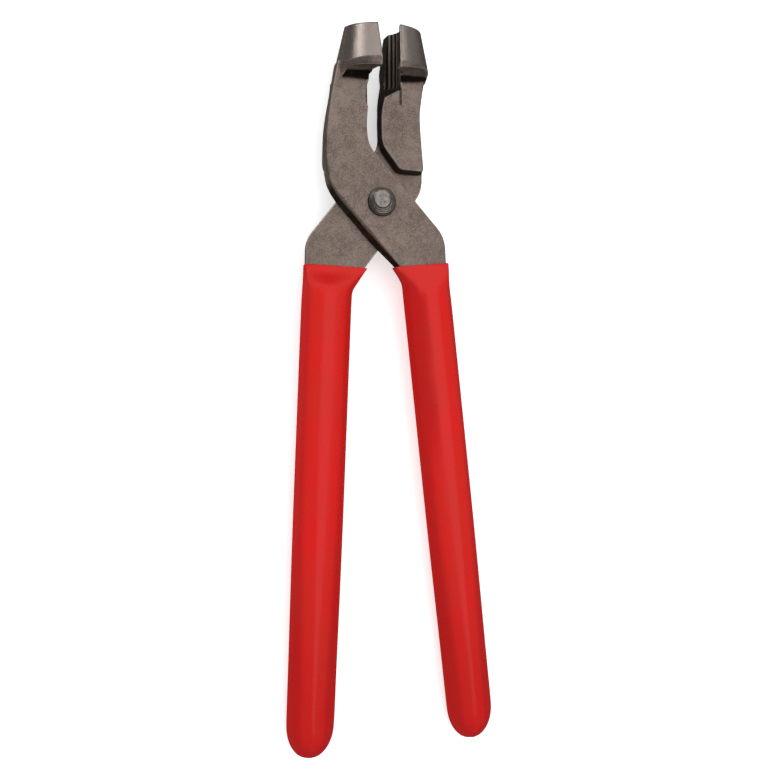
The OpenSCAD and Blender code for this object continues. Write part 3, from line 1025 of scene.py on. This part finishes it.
    def build(self) -> bpy.types.Object:
        """Bends a grid into the grip's closed skin.

        Returns:
            The grip.
        """
        rings = self.rings()
        around = len(rings[0][1])
        shape = bmesh.new()
        bmesh.ops.create_grid(
            shape, x_segments=around, y_segments=len(rings) - 1, size=0.5, matrix=Matrix.Identity(4)
        )
        line = Vector((self.base_x + self.lip_y * math.tan(math.radians(self.splay)), -self.lip_y, 0))
        turn = Matrix.Rotation(math.radians(self.splay), 3, "Z")
        over = Matrix.Rotation(math.pi, 3, "Y") if self.turned else Matrix.Identity(3)
        for point in shape.verts:
            i = round((point.co.x + 0.5) * around) % around
            d, ring = rings[round((point.co.y + 0.5) * (len(rings) - 1))]
            u, z = ring[i]
            sag = 0.12 * noise.noise(Vector((u * 0.35, z * 0.35, self.base_x))) if d < 1 else 0.0
            point.co = seat(*(over @ (line + turn @ Vector((u, -d - sag, z)))))
        bmesh.ops.remove_doubles(shape, verts=shape.verts, dist=1e-7)
        bmesh.ops.holes_fill(shape, edges=shape.edges, sides=0)
        bmesh.ops.recalc_face_normals(shape, faces=shape.faces)
        piece = new_piece(self.name, shape)
        soft = piece.modifiers.new("soft skin", "SUBSURF")
        soft.levels = soft.render_levels = 2
        return piece

    def dress(self, piece: bpy.types.Object, vinyl: bpy.types.Material) -> None:
        """Paints shade on the grip's sides, lip and a stripe down its front, gives it its finish and hangs
        it on its arm.

        Args:
            piece: The grip.
            vinyl: Its finish.
        """
        mesh = piece.data
        where, facing = seated(mesh), normals_of(mesh)
        # Painted shade on the sides, away from the two flats, and on the lip
        shade = ramp(1 - np.abs(facing[:, 2]), 0.06, 0.2)
        shade = np.maximum(shade, ramp(where[:, 1], -self.lip_y - 0.7, -self.lip_y + 0.4))
        # A stripe of painted shade down the front
        if self.shade_stripe:
            middle = np.interp(where[:, 1], *zip(*self.shade_stripe))
            near = 1 - ramp(np.abs(where[:, 0] - middle), 1.2, 2.0)
            shade = np.maximum(shade, near * ramp(facing[:, 2], 0.3, 0.5) * ramp(where[:, 1], -125, -85))
        paint(mesh, Mark.WALL, shade)
        mesh.materials.append(vinyl)
        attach(piece, self.body.value)
        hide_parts(self.node)


# The studio


@dataclass(frozen=True)
class Softbox:
    """A plain soft light that points at a place on the pliers."""

    name: str
    aim: tuple[float, float, float]
    width: float
    length: float
    radiance: float
    target: tuple[float, float, float] = (0.0, -40.0, 0.0)
    distance: float = 1.0

    def make(self) -> bpy.types.Object:
        """Hangs the light.

        Returns:
            The light's object.
        """
        lamp = bpy.data.lights.new(self.name, "AREA")
        lamp.shape = "RECTANGLE"
        lamp.size, lamp.size_y = self.width, self.length
        lamp.energy = self.radiance * math.pi * self.width * self.length
        box = bpy.data.objects.new(self.name, lamp)
        away = Vector(self.aim).normalized()
        across = Vector((0, 1, 0)).cross(away).normalized()
        up = away.cross(across)
        place = Matrix((across, up, away)).transposed().to_4x4()
        place.translation = seat(*self.target) + away * self.distance
        box.matrix_world = place
        bpy.context.scene.collection.objects.link(box)
        return box


@dataclass
class Studio:
    """The table, the lights and the camera of the photograph."""

    camera_at: tuple[float, float, float] = (-122.687, -77.416, 422.150)
    right: tuple[float, float, float] = (0.958037004, -0.027936116, 0.285279991)
    up: tuple[float, float, float] = (0.027016084, 0.999609352, 0.007160666)
    back: tuple[float, float, float] = (-0.285368588, 0.000846965, 0.958417473)
    focal_px: float = 1050.0
    photo_px: float = 776.0
    sensor: float = 36.0
    rim_touch: float = 58.5
    grip_touch: float = -222.0
    rest_z: float = -16.2068
    grip_z: float = -6.7
    around_diffuse: float = 0.9
    around_gloss: float = 0.05
    jaws_at: tuple[float, float, float] = (0.0, 62.0, 8.0)
    table_size: float = 4.0

    def boxes(self) -> list[Softbox]:
        """The soft lights: one over the flats, and three that the round jaws mirror."""
        return [
            Softbox("overhead", (0.285, 0.0, 0.958), 1.0, 1.3, 0.8),
            Softbox("jaw_box", (0.02, 0.735, 0.678), 1.2, 0.5, 0.62, self.jaws_at),
            Softbox("jaw_strip", (-0.62, 0.70, 0.35), 0.2, 0.7, 2.6, self.jaws_at),
            Softbox("jaw_side", (0.66, 0.70, 0.25), 1.2, 0.5, 0.17, self.jaws_at),
        ]

    def build(self) -> None:
        """Sets up everything round the pliers."""
        self.lay_floor()
        self.surround()
        for box in self.boxes():
            box.make()
        self.aim_camera()

    def lay_floor(self) -> None:
        """Lays the table under the jaws' rims and the grips' ends, which the pliers rest on."""
        rims = seat(0, self.rim_touch, self.rest_z)
        ends = seat(0, self.grip_touch, self.grip_z)
        slope = (ends.z - rims.z) / (rims.y - ends.y)
        shape = bmesh.new()
        bmesh.ops.create_grid(shape, x_segments=8, y_segments=8, size=self.table_size)
        for point in shape.verts:
            point.co.z = rims.z + (rims.y - point.co.y) * slope - 0.1 * MM
        floor = new_piece("table", shape, smooth=False)
        floor.data.materials.append(PaleFloor().make())
        floor.visible_glossy = False

    def surround(self) -> None:
        """Fills the room with even light that polished steel sees only dimly."""
        world = bpy.data.worlds.new("room")
        bpy.context.scene.world = world
        world.use_nodes = True
        sheet = Sheet(world.node_tree)
        lit = sheet.add("ShaderNodeBackground", {}, {"Color": (1, 1, 1, 1), "Strength": self.around_diffuse})
        seen = sheet.add(
            "ShaderNodeBackground", {}, {"Color": (1, 0.97, 0.94, 1), "Strength": self.around_gloss}
        )
        path = sheet.add("ShaderNodeLightPath")
        both = sheet.add(
            "ShaderNodeMixShader",
            {},
            {0: path.outputs["Is Glossy Ray"], 1: lit.outputs[0], 2: seen.outputs[0]},
        )
        sheet.add("ShaderNodeOutputWorld", {}, {"Surface": both.outputs[0]})

    def aim_camera(self) -> None:
        """Puts the camera where the photograph was taken from."""
        scene = bpy.context.scene
        scene.view_settings.view_transform = "Standard"
        scene.view_settings.look = "None"
        eye = bpy.data.cameras.new("photo_camera")
        eye.sensor_fit = "HORIZONTAL"
        eye.sensor_width = self.sensor
        eye.lens = self.focal_px / self.photo_px * self.sensor
        eye.clip_start = 0.01
        camera = bpy.data.objects.new("photo_camera", eye)
        place = Matrix((self.right, self.up, self.back)).transposed().to_4x4()
        place.translation = seat(*self.camera_at)
        camera.matrix_world = place
        scene.collection.objects.link(camera)
        scene.camera = camera


@dataclass
class FaucetPliers:
    """The whole tool."""

    arms: list[ForgedArm] = field(
        default_factory=lambda: [
            ForgedArm("arm_of_left_jaw", "front_arm", Body.FRONT, -1, 2.0, 57.0, 0.12),
            ForgedArm("arm_of_right_jaw", "back_arm", Body.BACK, 1, -5.0, 56.0, 0.9),
        ]
    )
    rivet: Rivet = field(default_factory=Rivet)
    grips: list[DippedGrip] = field(
        default_factory=lambda: [
            DippedGrip(
                "right_grip", "front_grip", Body.FRONT, 18.4, 4.5, 14.6, 7.0, False,
                ((-125.0, 24.0), (-86.0, 20.8), (-76.0, 19.4), (-40.0, 17.2), (-27.0, 8.3)),
            # Points of the stripe of painted shade down the right grip's front
            ),
            DippedGrip("left_grip", "back_grip", Body.BACK, 19.6, 3.9, 17.3, 10.3, True),
        ]
    )

    def build(self) -> None:
        """Builds and dresses every piece."""
        steel, rivet_steel, vinyl = ForgedSteel().make(), RivetSteel().make(), DippedVinyl().make()
        for arm in self.arms:
            piece = arm.build()
            arm.dress(piece, steel)
            report(piece)
        piece = self.rivet.build()
        self.rivet.dress(piece, rivet_steel)
        report(piece)
        for grip in self.grips:
            piece = grip.build()
            grip.dress(piece, vinyl)
            report(piece)


def report(piece: bpy.types.Object) -> None:
    """Logs one finished piece.

    Args:
        piece: The piece.
    """
    LOG.info("%s: %d points, %d faces", piece.name, len(piece.data.vertices), len(piece.data.polygons))


def main() -> None:
    """Builds the pliers and the studio round them."""
    logging.basicConfig(level=logging.INFO, format="%(name)s %(message)s")
    FaucetPliers().build()
    Studio().build()


if __name__ == "__main__":
    main()
